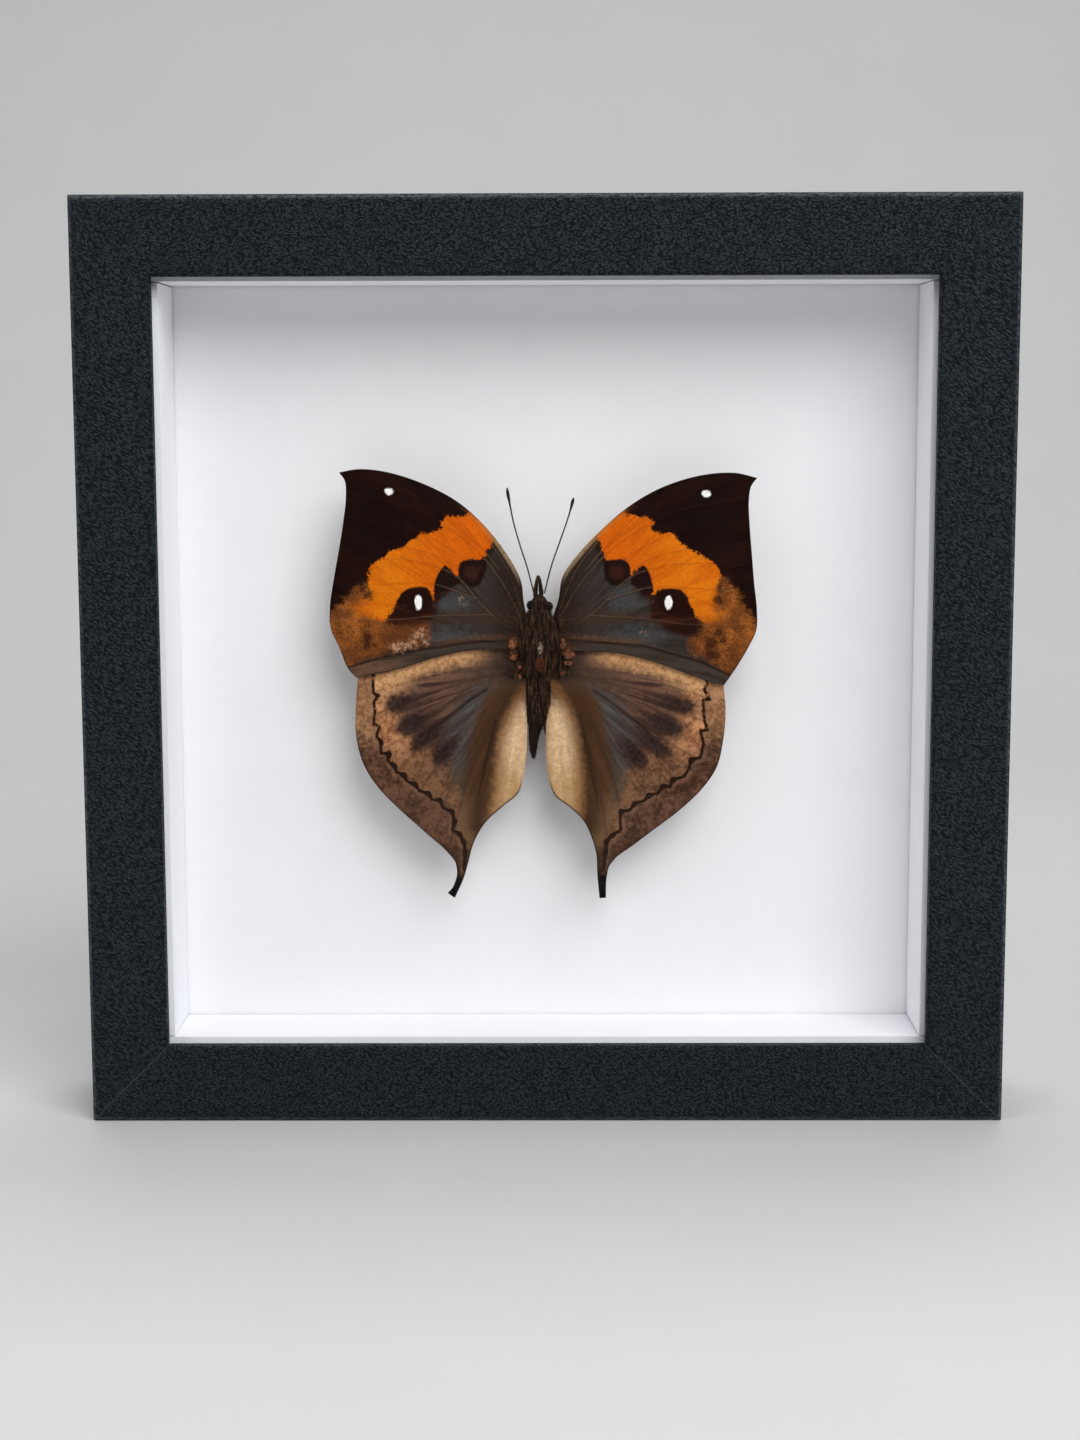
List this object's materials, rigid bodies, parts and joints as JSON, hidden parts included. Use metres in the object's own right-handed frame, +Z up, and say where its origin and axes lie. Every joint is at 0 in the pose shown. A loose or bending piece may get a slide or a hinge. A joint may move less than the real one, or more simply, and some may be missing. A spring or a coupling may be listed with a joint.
{
  "type": "framed butterfly specimen",
  "caption": "Spread leaf butterfly pinned in front of a white board, behind glass in a square black leatherette box frame that stands on its base or hangs by its back.",
  "frame": {"origin": "middle of the base, under the centre of the frame", "axes": "+Z up, +X to the right as seen from the front, +Y from the front to the back, so the glass faces -Y"},
  "size_m": [0.2, 0.038, 0.2],
  "materials": {
    "black_leatherette": "fine creased grain, satin, wrapped over a wood core",
    "clear_glass": "clear picture glass",
    "white_liner": "matt white",
    "white_board": "matt white",
    "brown_fibreboard": "smooth hardboard",
    "zinc_steel": "zinc plated",
    "forewing_scales": "dry scaled membrane, orange band on black brown and slate",
    "hindwing_scales": "dry scaled membrane, brown and tan with a cream fold",
    "body_fur": "dry dark brown cuticle with short hair",
    "pin_steel": "polished"
  },
  "bodies": {
    "root": {"frame_rail_bottom": "black_leatherette", "frame_rail_left": "black_leatherette", "frame_rail_top": "black_leatherette", "frame_rail_right": "black_leatherette", "glass_pane": "clear_glass", "liner_wall_top": "white_liner", "liner_wall_bottom": "white_liner", "liner_wall_left": "white_liner", "liner_wall_right": "white_liner", "mount_board": "white_board", "back_panel": "brown_fibreboard", "back_clip_bottom_1": "zinc_steel", "back_clip_bottom_2": "zinc_steel", "back_clip_left_1": "zinc_steel", "back_clip_left_2": "zinc_steel", "back_clip_top_1": "zinc_steel", "back_clip_top_2": "zinc_steel", "back_clip_right_1": "zinc_steel", "back_clip_right_2": "zinc_steel", "hanger_plate": "zinc_steel", "forewing_left": "forewing_scales", "forewing_right": "forewing_scales", "hindwing_left": "hindwing_scales", "hindwing_right": "hindwing_scales", "head": "body_fur", "thorax": "body_fur", "abdomen": "body_fur", "antenna_left": "body_fur", "antenna_right": "body_fur", "pin": "pin_steel"}
  },
  "joints": []
}
